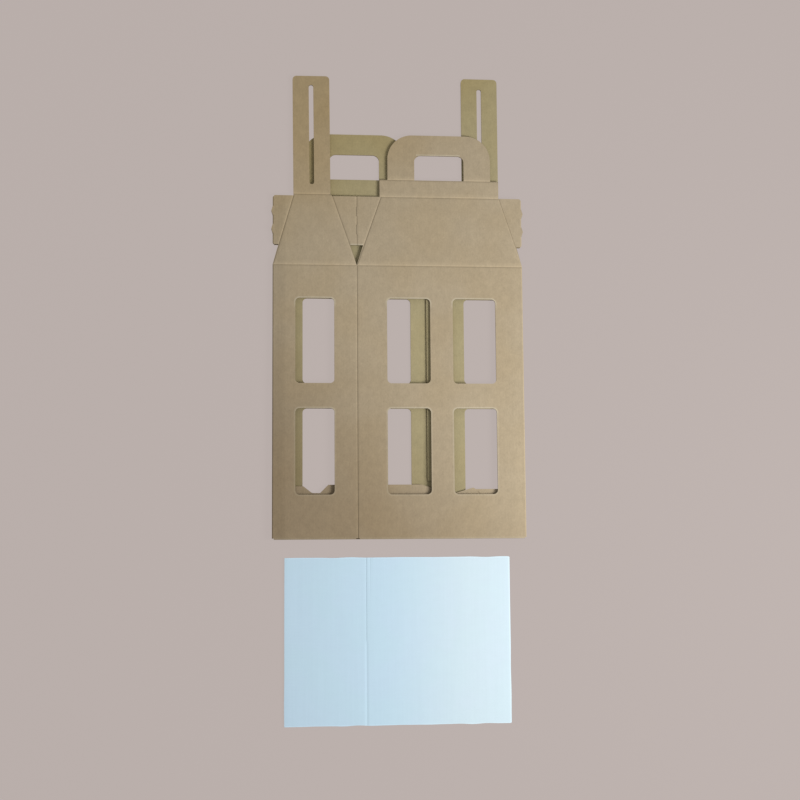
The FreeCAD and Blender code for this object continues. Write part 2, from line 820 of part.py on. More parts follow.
for item in doc.Objects:
    if "Invalid" in item.State or "Error" in item.State:
        raise RuntimeError(f"{item.Name} failed: {item.State}")
for label, piece in SUB_PARTS.items():
    shape = piece.Shape
    if shape.isNull() or not shape.isValid() or len(shape.Solids) != 1:
        raise RuntimeError(f"{label} is not one valid solid")

os.makedirs("parts", exist_ok=True)
for label, piece in SUB_PARTS.items():
    piece.Shape.exportStep(f"parts/{label}.step")
    box = piece.Shape.BoundBox
    print(f"{label}: {piece.Shape.Volume:.0f} mm3, "
          f"{box.XLength:.1f} x {box.YLength:.1f} x {box.ZLength:.2f} mm")
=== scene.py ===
import json
from math import exp, pi, radians, sin

import bpy
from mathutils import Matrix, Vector


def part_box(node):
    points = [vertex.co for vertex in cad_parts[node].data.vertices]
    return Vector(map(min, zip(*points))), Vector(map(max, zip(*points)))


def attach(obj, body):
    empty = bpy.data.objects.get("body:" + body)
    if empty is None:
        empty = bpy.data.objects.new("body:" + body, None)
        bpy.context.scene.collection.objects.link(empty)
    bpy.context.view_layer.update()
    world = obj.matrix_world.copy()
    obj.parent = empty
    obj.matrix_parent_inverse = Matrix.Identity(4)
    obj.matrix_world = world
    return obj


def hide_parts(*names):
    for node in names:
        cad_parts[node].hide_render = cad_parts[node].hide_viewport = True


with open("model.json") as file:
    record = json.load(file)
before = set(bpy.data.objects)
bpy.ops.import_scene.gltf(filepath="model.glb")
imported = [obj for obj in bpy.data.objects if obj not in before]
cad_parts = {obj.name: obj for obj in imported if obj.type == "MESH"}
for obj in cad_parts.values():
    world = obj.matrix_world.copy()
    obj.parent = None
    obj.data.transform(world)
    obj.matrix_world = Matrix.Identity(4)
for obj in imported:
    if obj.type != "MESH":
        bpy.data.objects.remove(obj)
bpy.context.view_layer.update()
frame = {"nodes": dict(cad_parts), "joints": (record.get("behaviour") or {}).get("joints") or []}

# Corrugated bottle carrier folded flat, seen from above with its loose insert sheet.
# Lengths are in metres, in the row frame: +Y runs from the bottom fold to the straps.

MM = 0.001
BOARD = 1.6 * MM
FLUTE_PITCH = 3.3 * MM
KRAFT_NODES = ("carton_sleeve", "left_strap", "front_neck", "front_handle")

# Places read from the frame
sleeve_low, sleeve_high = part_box("carton_sleeve")
insert_low, insert_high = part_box("insert_sheet")
hinges = {joint["name"]: Vector(joint["pos_m"]) for joint in frame["joints"]}
BOTTOM_FOLD = sleeve_low.y
SIDE_FOLD = sleeve_high.x - 1.5 * MM
LID_START = hinges["front_neck_fold"]
LID_RUN = hinges["front_handle_fold"] - LID_START
LID_SLOPE = LID_RUN.z / LID_RUN.y

# The bottom flaps between the layers: their end, the top of the lower one over the ground,
# and the underside of the upper one under the top of the carton
FLAP_END = BOTTOM_FOLD + 58.5 * MM
LOWER_FLAP_TOP = 3.5 * MM
UPPER_FLAP_UNDER = -3.5 * MM

# Plan of the flat carton, in millimetres from its left and bottom folds
FLAT_WIDTH = 270
FRONT_CORNER = 90
BACK_CORNER = 180
WALL = 293
NOTCH_HEAD = 315
SHOULDER = 368.5
STRAP_FOOT = 370.4
NECK = 387.5
GRIP_TOP = NECK + 27.5
LEFT_STRAP = (22.1, 61.9)
RIGHT_STRAP = (205.4, 245.2)
GUSSET_HEAD = (63.6, 116.4)
FRONT_NECK = (115, 245)
BACK_NECK = (25, 155)
NOTCH = (83, 97)
FRONT_GRIP = (155, 203)

# Windows of the upper layer in the same plan: middles and widths of the columns, middles
# of the rows
WINDOW_COLUMNS = [(45, 41.5), (145.6, 46.5), (216.6, 46.5)]
WINDOW_ROWS = (92.8, 211.2)
WINDOW_HEIGHT = 91.6
WINDOW_CORNER = 4.5

# How creases shade the board: below and above a level one, right and left of an upright one,
# and over the swelling above a level one
CREASE_REACH = 2.4 * MM
LEVEL_SHADES = (-0.05, 0.1)
UPRIGHT_SHADES = (-0.07, -0.02)
SWELL_SHADE = 0.06
SWELL_REACH = (2.5 * MM, 5.5 * MM)


def rgb(red, green, blue):
    """A colour given in display values from 0 to 255, as linear RGBA."""
    def linear(value):
        value /= 255
        return value / 12.92 if value <= 0.04045 else ((value + 0.055) / 1.055) ** 2.4

    return (linear(red), linear(green), linear(blue), 1)


OUTER_KRAFT = rgb(168, 153, 128)
INNER_KRAFT = rgb(161, 150, 116)
# Paler colour for the painted highlight at the rims and for the band along the bottom fold
PALE_EDGE_KRAFT = rgb(186, 175, 152)
CUT_KRAFT = rgb(126, 106, 78)
# Painted shade in the hollows between the flutes of a cut edge
FLUTE_HOLLOW_SHADE = rgb(58, 45, 31)
WARM_TINT = rgb(252, 246, 232)
# Insert paper: painted shade makes it darker and bluer at its left, lighter towards its right
# where the light falls
PALE_LINER = rgb(187, 211, 227)
PALE_LIT_LINER = rgb(196, 213, 223)
PALE_SHADE = rgb(172, 193, 206)
PALE_TINT = rgb(253, 255, 253)
BACKGROUND = rgb(187, 176, 172)
SKY = (1, 0.99, 0.98, 1)

# The carton is darker towards its lower left corner, a painted shade, and yellower towards its
# left strap.
# Each tint grows along a slope, given per metre of x and y, between two values of that sum.
LOWER_LEFT_SHADE_TINT = (0.56, 0.505, 0.444, 1)
LOWER_LEFT_SHADE_SLOPE = (-2.963, -3.311)
LOWER_LEFT_SHADE_REACH = (-0.233, 0.767)
LOWER_LEFT_SHADE_SHARE = 0.75
YELLOWED_TINT = (0.97, 0.905, 0.75, 1)
YELLOWED_SLOPE = (-0.6, 1)
YELLOWED_REACH = (0.2, 0.37)
YELLOWED_SHARE = 1

# Studio and camera
SKY_STRENGTH = 0.43
KEY_PLACE = (0.7, -0.24, 0.64)
KEY_TARGET = (0.05, -0.04, 0)
KEY_SIZE = 0.42
KEY_POWER = 9.9
FLOOR_HALF = 6
FLOOR_DROP = 0.2 * MM
FLOOR_EVENNESS = 0.94
CAMERA_PLACE = (-0.14499, -0.15732, 1.48407)
CAMERA_TURN = (radians(5.805), radians(-5.598), radians(0.188))
CAMERA_LENS = 63
CAMERA_SENSOR = 36


def on_plan(x, y):
    """Place in the row frame of a point given in millimetres on the carton's plan."""
    return Vector((x * MM - SIDE_FOLD, y * MM + BOTTOM_FOLD))


def level_line(ends, height):
    """Ends of a level crease."""
    left, right = ends
    return (left, height), (right, height)


UPPER_CREASES = [
    level_line((0, FLAT_WIDTH), WALL),
    ((FRONT_CORNER, 0), (FRONT_CORNER, WALL)),
    ((FRONT_CORNER, NOTCH_HEAD), (FRONT_CORNER, SHOULDER)),
    ((FRONT_CORNER, WALL), (GUSSET_HEAD[0], SHOULDER)),
    ((FRONT_CORNER, WALL), (GUSSET_HEAD[1], SHOULDER)),
    ((0, WALL), (LEFT_STRAP[0], SHOULDER)),
    level_line(LEFT_STRAP, STRAP_FOOT),
    level_line(FRONT_NECK, SHOULDER),
    level_line(FRONT_NECK, NECK),
]
LOWER_CREASES = [
    level_line(BACK_NECK, SHOULDER),
    level_line(BACK_NECK, NECK),
    level_line(RIGHT_STRAP, STRAP_FOOT),
    ((BACK_CORNER, 0), (BACK_CORNER, WALL)),
]

# Straight cut edges with a painted highlight just above them
HIGHLIT_TOP_EDGES = [level_line(NOTCH, NOTCH_HEAD), level_line(FRONT_GRIP, GRIP_TOP)]


class Nodes:
    """Short calls that add and link the nodes of one material."""

    def __init__(self, name):
        self.material = bpy.data.materials.new(name)
        self.material.use_nodes = True
        self.tree = self.material.node_tree
        self.tree.nodes.clear()
        self.output = self.tree.nodes.new("ShaderNodeOutputMaterial")
        where = self.tree.nodes.new("ShaderNodeTexCoord")
        self.place = where.outputs["Object"]
        self.x, self.y, self.z = self.split(self.place)
        self.nx, self.ny, self.nz = self.split(where.outputs["Normal"])

    def put(self, socket, value):
        """Link the value if it is a socket, or set it as a constant."""
        if isinstance(value, bpy.types.NodeSocket):
            self.tree.links.new(value, socket)
        else:
            socket.default_value = value

    def split(self, vector):
        node = self.tree.nodes.new("ShaderNodeSeparateXYZ")
        self.put(node.inputs[0], vector)
        return node.outputs[:3]

    def join(self, x, y, z):
        node = self.tree.nodes.new("ShaderNodeCombineXYZ")
        for socket, value in zip(node.inputs, (x, y, z)):
            self.put(socket, value)
        return node.outputs[0]

    def math(self, operation, *values):
        node = self.tree.nodes.new("ShaderNodeMath")
        node.operation = operation
        for socket, value in zip(node.inputs, values):
            self.put(socket, value)
        return node.outputs[0]

    def chain(self, operation, first, *others):
        """One operation carried through all the values."""
        for other in others:
            first = self.math(operation, first, other)
        return first

    def total(self, *values):
        return self.chain("ADD", *values)

    def both(self, *tests):
        return self.chain("MULTIPLY", *tests)

    def either(self, *tests):
        return self.chain("MAXIMUM", *tests)

    def least(self, *values):
        return self.chain("MINIMUM", *values)

    def minus(self, value, other):
        return self.math("SUBTRACT", value, other)

    def opposite(self, test):
        """0 where the test is 1, and 1 where it is 0."""
        return self.math("SUBTRACT", 1.0, test)

    def scaled(self, value, factor):
        return self.math("MULTIPLY", value, factor)

    def weighted(self, base, *parts):
        """The base plus each value times its weight."""
        return self.total(*[self.scaled(value, weight) for value, weight in parts], base)

    def magnitude(self, value):
        return self.math("ABSOLUTE", value)

    def above(self, value, limit):
        return self.math("GREATER_THAN", value, limit)

    def below(self, value, limit):
        return self.math("LESS_THAN", value, limit)

    def within(self, value, low, high):
        return self.both(self.above(value, low), self.below(value, high))

    def ramp(self, value, low, high, start=0.0, end=1.0):
        """The value carried smoothly from low..high to start..end, and held beyond."""
        node = self.tree.nodes.new("ShaderNodeMapRange")
        node.interpolation_type = "SMOOTHSTEP"
        for socket, number in zip(node.inputs, (value, low, high, start, end)):
            self.put(socket, number)
        return node.outputs[0]

    def noise(self, size, detail=2.0, stretch=(1, 1, 1), roughness=0.5, seed=0.0):
        """Noise from 0 to 1 whose features are about this size in metres."""
        mapping = self.tree.nodes.new("ShaderNodeMapping")
        self.put(mapping.inputs["Vector"], self.place)
        mapping.inputs["Location"].default_value = (seed, seed, seed)
        mapping.inputs["Scale"].default_value = [1 / (size * part) for part in stretch]
        node = self.tree.nodes.new("ShaderNodeTexNoise")
        self.put(node.inputs["Vector"], mapping.outputs[0])
        node.inputs["Scale"].default_value = 1
        node.inputs["Detail"].default_value = detail
        node.inputs["Roughness"].default_value = roughness
        return node.outputs[0]

    def washboard(self, along):
        """A wave from -1 to 1 with one crest to each flute of the board."""
        return self.math("SINE", self.scaled(along, 2 * pi / FLUTE_PITCH))

    def mix(self, factor, first, second, blend="MIX"):
        """Mix two colours."""
        node = self.tree.nodes.new("ShaderNodeMix")
        node.data_type = "RGBA"
        node.blend_type = blend
        self.put(node.inputs["Factor"], factor)
        self.put(node.inputs["A"], first)
        self.put(node.inputs["B"], second)
        return node.outputs["Result"]

    def tinted(self, share, colour, tint):
        """The colour, and a share of it multiplied by the tint."""
        return self.mix(share, colour, self.mix(1.0, colour, tint, "MULTIPLY"))

    def shade(self, colour, factor):
        """The colour made lighter or darker by a factor that is a number or a socket."""
        grey = self.join(factor, factor, factor)
        return self.mix(1.0, colour, grey, "MULTIPLY")

    def bump(self, height, distance):
        node = self.tree.nodes.new("ShaderNodeBump")
        node.inputs["Strength"].default_value = 1
        node.inputs["Distance"].default_value = distance
        self.put(node.inputs["Height"], height)
        return node.outputs[0]

    def surface(self, colour, roughness, normal, specular):
        """Finish the material as one plain surface."""
        node = self.tree.nodes.new("ShaderNodeBsdfPrincipled")
        self.put(node.inputs["Base Color"], colour)
        self.put(node.inputs["Roughness"], roughness)
        self.put(node.inputs["Normal"], normal)
        node.inputs["Specular IOR Level"].default_value = specular
        self.put(self.output.inputs["Surface"], node.outputs[0])
        return self.material


def lid_height(mat):
    """Height over the top face of the leaning upper layer."""
    run = mat.minus(mat.y, LID_START.y)
    plane = mat.math("MULTIPLY_ADD", run, LID_SLOPE, LID_START.z)
    return mat.minus(mat.z, plane)


def in_upper_layer(mat, lid):
    """1 in the upper layer's board, 0 under it."""
    return mat.above(lid, -BOARD - 0.05 * MM)


def outer_liner(mat, lid):
    """1 where the face is the outside of the carton, 0 where it is the inside."""
    near_bottom = mat.below(mat.y, FLAP_END)
    lower_flap = mat.within(mat.z, LOWER_FLAP_TOP - 0.5 * MM, LOWER_FLAP_TOP + 0.2 * MM)
    upper_flap = mat.within(lid, UPPER_FLAP_UNDER - 0.4 * MM, UPPER_FLAP_UNDER + 0.4 * MM)
    upward = mat.either(mat.above(lid, -BOARD / 2), mat.both(near_bottom, lower_flap))
    downward = mat.either(mat.below(mat.z, BOARD / 2), mat.both(near_bottom, upper_flap))
    facing_up = mat.above(mat.nz, 0)
    return mat.either(mat.both(facing_up, upward), mat.both(mat.opposite(facing_up), downward))


def cut_edge(mat):
    """1 on cut edges of the board, 0 on its liners and its rounded folds."""
    steep = mat.below(mat.magnitude(mat.nz), 0.6)
    at_side = mat.within(mat.magnitude(mat.x), SIDE_FOLD - 1.5 * MM, SIDE_FOLD + 0.1 * MM)
    facing_out = mat.above(mat.math("MULTIPLY", mat.nx, mat.math("SIGN", mat.x)), 0.3)
    side_fold = mat.both(at_side, facing_out)
    bottom_fold = mat.both(mat.below(mat.y, BOTTOM_FOLD + 1.3 * MM), mat.below(mat.ny, -0.3))
    return mat.both(steep, mat.opposite(mat.either(side_fold, bottom_fold)))


def board_level(mat, lid):
    """Height within the board's own thickness, from 0 to 1, on a cut edge."""
    upper = mat.scaled(mat.math("ADD", lid, BOARD), 1 / BOARD)
    lower = mat.scaled(mat.z, 1 / BOARD)
    flap = mat.scaled(mat.minus(mat.z, LOWER_FLAP_TOP - BOARD), 1 / BOARD)
    is_upper = in_upper_layer(mat, lid)
    is_lower = mat.below(mat.z, BOARD + 0.05 * MM)
    under = mat.total(mat.both(is_lower, lower), mat.both(mat.opposite(is_lower), flap))
    return mat.total(mat.both(is_upper, upper), mat.both(mat.opposite(is_upper), under))


def flute_ends(mat, level):
    """The board cut across its flutes: two liners and the waved sheet, with painted shade in the
    hollows between them.
    """
    wave = mat.math("MULTIPLY_ADD", mat.washboard(mat.x), 0.34, 0.5)
    sheet = mat.below(mat.magnitude(mat.minus(level, wave)), 0.12)
    liners = mat.either(mat.below(level, 0.15), mat.above(level, 0.85))
    inside = mat.mix(sheet, FLUTE_HOLLOW_SHADE, CUT_KRAFT)
    return mat.mix(liners, inside, mat.shade(CUT_KRAFT, 1.15))


def flute_flanks(mat, level):
    """The board cut along its flutes: two liners and a torn flute between them, patched with the
    painted shade of its hollows.
    """
    flute_and_shade = mat.mix(mat.noise(2.5 * MM, 2, seed=2), FLUTE_HOLLOW_SHADE, CUT_KRAFT)
    liners = mat.either(mat.below(level, 0.2), mat.above(level, 0.8))
    return mat.mix(liners, flute_and_shade, mat.shade(CUT_KRAFT, 1.1))


def crease_marks(mat, lines):
    """The grooves of these creases, 1 in their middle, and how they shade the board."""
    grooves = []
    shades = []
    for start, end in lines:
        foot = on_plan(*start)
        run = on_plan(*end) - foot
        along = run.normalized()
        dx = mat.minus(mat.x, foot.x)
        dy = mat.minus(mat.y, foot.y)
        travel = mat.total(mat.scaled(dx, along.x), mat.scaled(dy, along.y))
        offset = mat.total(mat.scaled(dy, along.x), mat.scaled(dx, -along.y))
        on_line = mat.within(travel, 0, run.length)
        groove = mat.both(mat.ramp(mat.magnitude(offset), 0, CREASE_REACH, 1, 0), on_line)
        level = mat.scaled(mat.ramp(offset, -0.7 * MM, 0.7 * MM, *LEVEL_SHADES), abs(along.x))
        upright = mat.scaled(mat.ramp(offset, -0.5 * MM, 0.5 * MM, *UPRIGHT_SHADES),
                             abs(along.y))
        swell = mat.both(mat.ramp(offset, 0, 0.7 * MM, 0, SWELL_SHADE * abs(along.x)),
                         mat.ramp(offset, *SWELL_REACH, 1, 0), on_line)
        grooves.append(groove)
        shades.append(mat.total(mat.both(groove, mat.total(level, upright)), swell))
    return mat.either(*grooves), mat.total(*shades)


def layer_creases(mat, lid):
    """The grooves and shades of both layers, each on its own layer."""
    is_upper = in_upper_layer(mat, lid)
    upper = crease_marks(mat, UPPER_CREASES)
    lower = crease_marks(mat, LOWER_CREASES)
    return [mat.total(mat.both(is_upper, over), mat.both(mat.opposite(is_upper), under))
            for over, under in zip(upper, lower)]


def window_highlights(mat):
    """Where a painted highlight lies at the window edges of the upper layer: 1 at the edges,
    strongest above them, fading outwards.
    """
    low_row, high_row = WINDOW_ROWS
    middle = (low_row + high_row) / 2
    half = WINDOW_HEIGHT / 2
    up = mat.minus(mat.y, BOTTOM_FOLD + middle * MM)
    to_row = mat.scaled(mat.math("SIGN", up), (high_row - low_row) / 2 * MM)
    from_row = mat.minus(up, to_row)
    along = mat.minus(mat.magnitude(from_row), (half - WINDOW_CORNER) * MM)
    across = 1.0
    for centre, width in WINDOW_COLUMNS:
        from_column = mat.magnitude(mat.minus(mat.x, centre * MM - SIDE_FOLD))
        across = mat.least(across, mat.minus(from_column, (width / 2 - WINDOW_CORNER) * MM))
    along = mat.either(along, 0)
    across = mat.either(across, 0)
    distance = mat.math("SQRT", mat.total(mat.both(along, along), mat.both(across, across)))
    near = mat.ramp(distance, (WINDOW_CORNER + 0.5) * MM, (WINDOW_CORNER + 2.3) * MM, 1, 0)
    over_window = mat.ramp(from_row, 0.7 * half * MM, half * MM)
    low_windows = mat.ramp(up, -20 * MM, 20 * MM, 0.45, 0.05)
    return mat.both(near, mat.either(over_window, low_windows))


def straight_highlights(mat):
    """Where a painted highlight lies just above the straight cut edges: 1 there, fading upwards.
    """
    marks = []
    for start, end in HIGHLIT_TOP_EDGES:
        left = on_plan(*start)
        right = on_plan(*end)
        rise = mat.minus(mat.y, left.y)
        near = mat.both(mat.ramp(rise, 0.4 * MM, 2.2 * MM, 1, 0), mat.above(rise, 0))
        marks.append(mat.both(near, mat.within(mat.x, left.x, right.x)))
    return mat.either(*marks)


def fold_bulge(mat):
    """The layers round off towards the side folds, more so at the left one."""
    left = mat.ramp(mat.x, -SIDE_FOLD, -SIDE_FOLD + 15 * MM, -1, 0)
    right = mat.ramp(mat.x, SIDE_FOLD - 12 * MM, SIDE_FOLD, 0, -0.25)
    return mat.total(left, right)


def graded(mat, colour, tint, slope, reach, share):
    """The colour tinted more and more along a slope of x and y."""
    along = mat.total(mat.scaled(mat.x, slope[0]), mat.scaled(mat.y, slope[1]))
    return mat.tinted(mat.ramp(along, *reach, 0, share), colour, tint)


def kraft_colour(mat, lid):
    """Colour of the liners before their grain: a painted highlight at the rims, a paler band
    along the bottom fold, painted shade towards the lower left corner and yellower towards the
    left strap.
    """
    colour = mat.mix(outer_liner(mat, lid), INNER_KRAFT, OUTER_KRAFT)
    warmth = mat.ramp(mat.noise(60 * MM, 1, seed=21), 0.35, 0.7)
    colour = mat.tinted(mat.scaled(warmth, 0.35), colour, WARM_TINT)
    # Painted highlight along the window rims and above the straight cut edges, and a paler band
    # along the bottom fold
    rims = mat.either(window_highlights(mat), straight_highlights(mat))
    hem = mat.ramp(mat.y, BOTTOM_FOLD + 0.4 * MM, BOTTOM_FOLD + 2.8 * MM, 1, 0)
    is_top = mat.above(lid, -BOARD / 2)
    pale_edges = mat.both(is_top, mat.either(mat.scaled(rims, 0.85), mat.scaled(hem, 0.4)))
    colour = mat.mix(pale_edges, colour, PALE_EDGE_KRAFT)
    # Painted shade: darker towards the lower left corner
    colour = graded(mat, colour, LOWER_LEFT_SHADE_TINT, LOWER_LEFT_SHADE_SLOPE, LOWER_LEFT_SHADE_REACH, LOWER_LEFT_SHADE_SHARE)
    return graded(mat, colour, YELLOWED_TINT, YELLOWED_SLOPE, YELLOWED_REACH, YELLOWED_SHARE)


def kraft_board():
    """Brown kraft board: tan outside, greener inside, cut edges that show the flutes."""
    mat = Nodes("kraft_board")
    lid = lid_height(mat)
    clouds = mat.noise(34 * MM, 2, seed=3)
    mottle = mat.noise(6 * MM, 2, stretch=(1, 1.3, 1), seed=11)
    grain = mat.noise(1.6 * MM, 3, stretch=(1, 1.6, 1), roughness=0.65, seed=7)
    fibres = mat.noise(0.9 * MM, 2, stretch=(0.5, 6, 1), seed=5)
    dark_flecks = mat.ramp(mat.noise(1.5 * MM, 2, seed=31), 0.58, 0.72)
    light_flecks = mat.ramp(mat.noise(1.8 * MM, 2, seed=37), 0.6, 0.74)
    grooves, shades = layer_creases(mat, lid)
    tone = mat.weighted(0.67, (clouds, 0.1), (mottle, 0.2), (grain, 0.28), (fibres, 0.08),
                        (dark_flecks, -0.06), (light_flecks, 0.06), (shades, 1))
    liner = mat.shade(kraft_colour(mat, lid), tone)

    level = board_level(mat, lid)
    across_flutes = mat.above(mat.magnitude(mat.ny), 0.5)
    edge = mat.mix(across_flutes, flute_flanks(mat, level), flute_ends(mat, level))
    colour = mat.mix(cut_edge(mat), liner, edge)

    relief = mat.weighted(0, (mat.washboard(mat.x), 0.05), (grain, 0.5), (mottle, 0.55),
                          (clouds, 2.5), (grooves, -0.9), (fold_bulge(mat), 9))
    roughness = mat.ramp(grain, 0.2, 0.8, 0.78, 0.92)
    return mat.surface(colour, roughness, mat.bump(relief, 0.12 * MM), 0.2)


def pale_board():
    """Pale blue-white paper of the insert sheet."""
    mat = Nodes("white_board")
    clouds = mat.noise(45 * MM, 2, seed=4)
    mottle = mat.noise(7 * MM, 2, stretch=(1.6, 1, 1), seed=12)
    grain = mat.noise(1.2 * MM, 3, stretch=(2.2, 1, 1), roughness=0.6, seed=8)
    streaks = mat.noise(2.2 * MM, 2, stretch=(1, 40, 1), seed=15)
    from_edge = mat.least(mat.minus(mat.x, insert_low.x), mat.minus(insert_high.x, mat.x),
                          mat.minus(mat.y, insert_low.y), mat.minus(insert_high.y, mat.y))
    # Painted highlight along the sheet's cut edges
    edge_highlight = mat.ramp(from_edge, 0.5 * MM, 1.9 * MM, 1, 0)
    tone = mat.weighted(0.93, (clouds, 0.04), (mottle, 0.03), (grain, 0.03), (streaks, 0.04),
                        (edge_highlight, 0.08))
    # Painted shade: darker and bluer towards the left of the sheet, lighter towards its right
    paper = mat.mix(mat.ramp(mat.x, -30 * MM, 85 * MM), PALE_LINER, PALE_LIT_LINER)
    paper = mat.tinted(mat.ramp(clouds, 0.35, 0.65), paper, PALE_TINT)
    steep = mat.below(mat.magnitude(mat.nz), 0.5)
    colour = mat.mix(mat.scaled(steep, 0.35), mat.shade(paper, tone), PALE_SHADE)
    relief = mat.weighted(0, (mat.washboard(mat.y), 0.1), (grain, 0.3), (clouds, 2.0))
    roughness = mat.ramp(grain, 0.2, 0.8, 0.62, 0.8)
    return mat.surface(colour, roughness, mat.bump(relief, 0.1 * MM), 0.3)


class Wave:
    """A smooth irregular line between 0 and its depth, summed from a few sines."""

    def __init__(self, seed, length, depth):
        self.depth = depth
        self.parts = [(length / (1 + 0.37 * step), 2.4 * step + seed, 1 / (1 + 0.5 * step))
                      for step in range(4)]

    def at(self, place):
        total = sum(size * (0.5 + 0.5 * sin(2 * pi * place / length + turn))
                    for length, turn, size in self.parts)
        return self.depth * total / sum(size for _, _, size in self.parts)


# The insert: its crease below the middle, its slit above, and a faint second score
INSERT_FOLD = insert_low.x + 86.3 * MM
SLIT_START = 0.5
SLIT_HALF = 0.06 * MM
SECOND_SCORE = INSERT_FOLD + 3.6 * MM
SECOND_START = 0.7

# How far its upper liner is pressed in, and over what width
FOLD_DEPTH = 0.24 * MM
FOLD_WIDTH = 1.3 * MM
SLIT_DEPTH = 0.16 * MM
SLIT_WIDTHS = (1.4 * MM, 0.7 * MM)
SECOND_DEPTH = 0.14 * MM
SECOND_WIDTH = 0.7 * MM
CRUSHED_DEPTH = 0.22 * MM
CRUSHED_WIDTH = 0.8 * MM

# How its cut edges wander, and the powers by which that dies away across the sheet
LEFT_EDGE = Wave(2.0, 90 * MM, 0.3 * MM)
RIGHT_EDGE = Wave(5.0, 80 * MM, 0.35 * MM)
LOWER_EDGE = Wave(1.0, 47 * MM, 0.85 * MM)
UPPER_EDGE = Wave(4.0, 56 * MM, 0.7 * MM)
SIDE_POWER = 8
END_POWER = 12
BLUNT_CORNER = 2.2 * MM
BLUNT_DEPTH = 0.8 * MM

# Thicknesses of its liners and of the waved sheet, and how finely the three are divided
LINER = 0.2 * MM
WAVED_PAPER = 0.14 * MM
LEFT_COLUMNS = 30
RIGHT_COLUMNS = 60
UNDER_COLUMNS = 40
ROWS = 70
STEPS_A_FLUTE = 8
FOLD_COLUMNS = (-8, -4, -2.6, -1.8, -1.2, -0.7, -0.4, -0.06, 0.06, 0.4, 0.7, 1.2, 1.8, 2.4,
                2.9, 3.3, 3.6, 3.9, 4.3, 5, 8)


def insert_place(across, up):
    """The sheet's plan: its cut edges wander a little and its right corners are blunt."""
    x = insert_low.x + across * (insert_high.x - insert_low.x)
    y = insert_low.y + up * (insert_high.y - insert_low.y)
    x += (1 - across) ** SIDE_POWER * LEFT_EDGE.at(y)
    x -= across ** SIDE_POWER * RIGHT_EDGE.at(y)
    blunt = max(0, 1 - (insert_high.x - x) / BLUNT_CORNER) ** 2 * BLUNT_DEPTH
    y += (1 - up) ** END_POWER * (LOWER_EDGE.at(x) + blunt)
    y -= up ** END_POWER * (UPPER_EDGE.at(x) + blunt)
    return x, y


def insert_top(x, up):
    """Height of the upper liner: pressed in at the crease, the slit and the edges."""
    from_fold = x - INSERT_FOLD
    if up < SLIT_START:
        fold = FOLD_DEPTH * exp(-(from_fold / FOLD_WIDTH) ** 2)
    else:
        side = SLIT_WIDTHS[0] if from_fold < 0 else SLIT_WIDTHS[1]
        fold = SLIT_DEPTH * exp(-abs(from_fold) / side)
    second = SECOND_DEPTH * exp(-((x - SECOND_SCORE) / SECOND_WIDTH) ** 2)
    second *= max(0, up - SECOND_START) / (1 - SECOND_START)
    from_edge = max(0, min(x - insert_low.x, insert_high.x - x))
    return BOARD - fold - second - CRUSHED_DEPTH * exp(-from_edge / CRUSHED_WIDTH)


def columns(places):
    """Shares of the sheet's width for these places in metres."""
    return [(place - insert_low.x) / (insert_high.x - insert_low.x) for place in places]


def spread(low, high, count):
    """Evenly spaced places from low to high."""
    return [low + (high - low) * step / count for step in range(count + 1)]


def closed_sheet(across, along, over, under, missing=None):
    """Corners and faces of a thin closed sheet between two height functions."""
    corners = []
    faces = []
    row = len(along)
    for height in (over, under):
        for share in across:
            for up in along:
                x, y = insert_place(share, up)
                corners.append((x, y, height(x, up)))
    layer = len(across) * row
    kept = {(i, j) for i in range(len(across) - 1) for j in range(row - 1)
            if not (missing and missing(across[i], across[i + 1], along[j]))}
    for i, j in sorted(kept):
        ring = [i * row + j, (i + 1) * row + j, (i + 1) * row + j + 1, i * row + j + 1]
        faces.append(ring)
        faces.append([layer + corner for corner in reversed(ring)])
        sides = (((i, j - 1), 0), ((i + 1, j), 1), ((i, j + 1), 2), ((i - 1, j), 3))
        for neighbour, edge in sides:
            if neighbour not in kept:
                here, there = ring[edge], ring[(edge + 1) % 4]
                faces.append([there, here, layer + here, layer + there])
    return corners, faces


def in_slit(left, right, up):
    """True for the cells that the slit takes away."""
    middle = insert_low.x + (left + right) / 2 * (insert_high.x - insert_low.x)
    return up >= SLIT_START and abs(middle - INSERT_FOLD) < SLIT_HALF


def insert_layers():
    """The three sheets of the insert: upper liner, waved sheet and lower liner."""
    near_fold = [INSERT_FOLD + step * MM for step in FOLD_COLUMNS]
    left_run = spread(insert_low.x, INSERT_FOLD - 12 * MM, LEFT_COLUMNS)
    right_run = spread(INSERT_FOLD + 12 * MM, insert_high.x, RIGHT_COLUMNS)
    rims = [insert_low.x + 0.4 * MM, insert_low.x + 1 * MM,
            insert_high.x - 1 * MM, insert_high.x - 0.4 * MM]
    every_column = columns(sorted(left_run + near_fold + right_run + rims))
    fewer_columns = columns(sorted(left_run[::3] + near_fold + right_run[::4] + rims))
    even_columns = columns(spread(insert_low.x, insert_high.x, UNDER_COLUMNS))
    rows = spread(0, 1, ROWS)
    flutes = round((insert_high.y - insert_low.y) / FLUTE_PITCH)
    fine_rows = spread(0, 1, flutes * STEPS_A_FLUTE)

    def wave_height(x, up):
        room = insert_top(x, up) - 2 * LINER - WAVED_PAPER
        middle = LINER + WAVED_PAPER / 2 + room / 2
        return middle + room / 2 * sin(2 * pi * flutes * up)

    return [
        closed_sheet(every_column, rows, insert_top,
                     lambda x, up: insert_top(x, up) - LINER, in_slit),
        closed_sheet(fewer_columns, fine_rows,
                     lambda x, up: wave_height(x, up) + WAVED_PAPER / 2,
                     lambda x, up: wave_height(x, up) - WAVED_PAPER / 2),
        closed_sheet(even_columns, rows, lambda x, up: LINER, lambda x, up: 0),
    ]


